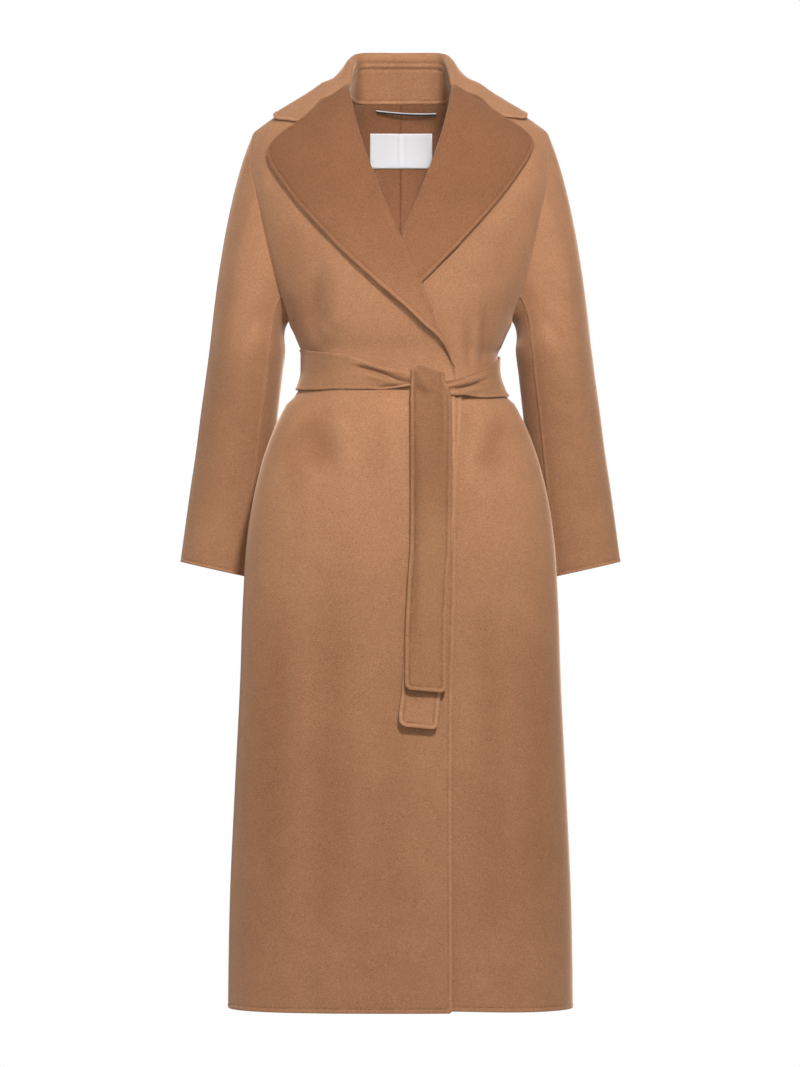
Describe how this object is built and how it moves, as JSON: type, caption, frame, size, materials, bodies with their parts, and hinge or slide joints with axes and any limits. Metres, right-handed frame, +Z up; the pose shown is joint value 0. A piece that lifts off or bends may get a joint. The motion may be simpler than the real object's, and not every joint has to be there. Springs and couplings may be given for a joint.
{
  "type": "wool wrap coat, filled out as worn with no wearer",
  "caption": "Long camel wool wrap coat with notched collar, wide lapels, set-in sleeves and tie belt, hollow and filled out as worn.",
  "frame": {"origin": "between the wearer's shoulders, at the height where the neck meets them, where the coat is held up", "axes": "+Z up along the coat's length, -Y towards the front, +X towards the wearer's left"},
  "size_m": [0.62, 0.3401, 1.3377],
  "materials": {
    "camel_wool": "soft double-face wool with a brushed nap",
    "black_satin": "narrow satin ribbon",
    "pale_satin": "bare woven satin label"
  },
  "bodies": {
    "root": {"back_left": "camel_wool", "back_right": "camel_wool", "front_right": "camel_wool", "front_left": "camel_wool", "sleeve_upper_right": "camel_wool", "sleeve_upper_left": "camel_wool", "sleeve_under_right": "camel_wool", "sleeve_under_left": "camel_wool", "collar": "camel_wool", "belt_waist": "camel_wool", "belt_end_front": "camel_wool", "belt_end_back": "camel_wool", "hanger_loop": "black_satin", "label": "pale_satin"}
  },
  "joints": []
}
